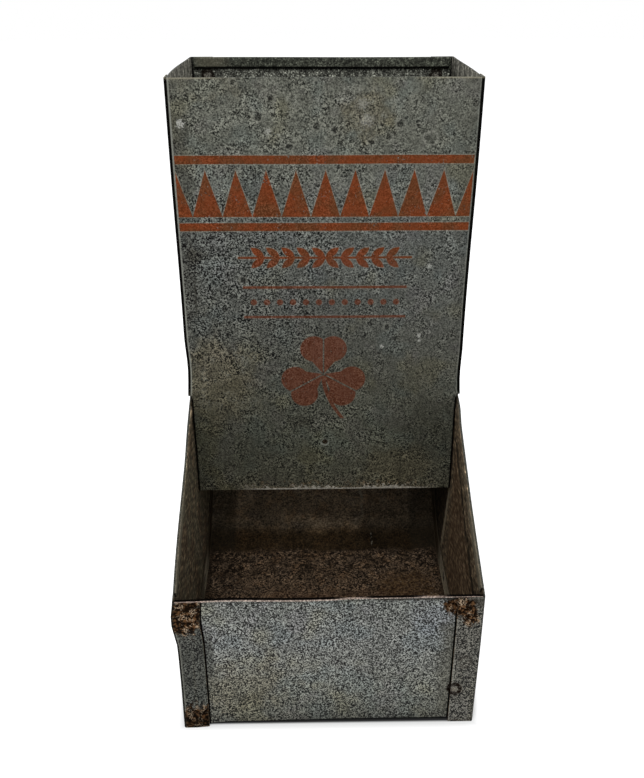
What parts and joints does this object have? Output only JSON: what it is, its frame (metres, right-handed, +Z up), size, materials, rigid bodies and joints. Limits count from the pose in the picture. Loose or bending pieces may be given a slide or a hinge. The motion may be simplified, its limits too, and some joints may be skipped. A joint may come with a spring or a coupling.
{
  "type": "rabbit feeder",
  "caption": "Galvanised sheet-metal rabbit feeder: an open-topped hopper above a front trough, folded and spot-welded.",
  "frame": {"origin": "centre of the bounding box's foot, on the ground that the side panels stand on", "axes": "+Z up, -Y towards the trough's front, +X to the right as seen from the front"},
  "size_m": [0.1544, 0.1986, 0.3152],
  "materials": {
    "side_steel": "weathered galvanised sheet, dull and streaked, brown with feed dust inside",
    "back_steel": "weathered galvanised sheet, dull grey",
    "hopper_steel": "weathered galvanised sheet, speckled grey, with a worn brick-red printed band",
    "trough_steel": "speckled galvanised sheet outside, brown with rust and feed dust inside",
    "weld": "rusty spot weld with a dished face"
  },
  "bodies": {
    "root": {"left_side_panel": "side_steel", "right_side_panel": "side_steel", "back_panel": "back_steel", "hopper_front_panel": "hopper_steel", "trough_pan": "trough_steel", "front_weld_left_1": "weld", "front_weld_left_2": "weld", "front_weld_right_1": "weld", "front_weld_right_2": "weld", "front_weld_right_3": "weld", "rear_weld_left_1": "weld", "rear_weld_left_2": "weld", "rear_weld_left_3": "weld", "rear_weld_left_4": "weld", "rear_weld_right_1": "weld", "rear_weld_right_2": "weld", "rear_weld_right_3": "weld", "rear_weld_right_4": "weld", "hopper_weld_left_1": "weld", "hopper_weld_left_2": "weld", "hopper_weld_left_3": "weld", "hopper_weld_right_1": "weld", "hopper_weld_right_2": "weld", "hopper_weld_right_3": "weld", "pan_weld_left_1": "weld", "pan_weld_left_2": "weld", "pan_weld_left_3": "weld", "pan_weld_right_1": "weld", "pan_weld_right_2": "weld", "pan_weld_right_3": "weld", "lap_weld_1": "weld", "lap_weld_2": "weld", "lap_weld_3": "weld"}
  },
  "joints": []
}
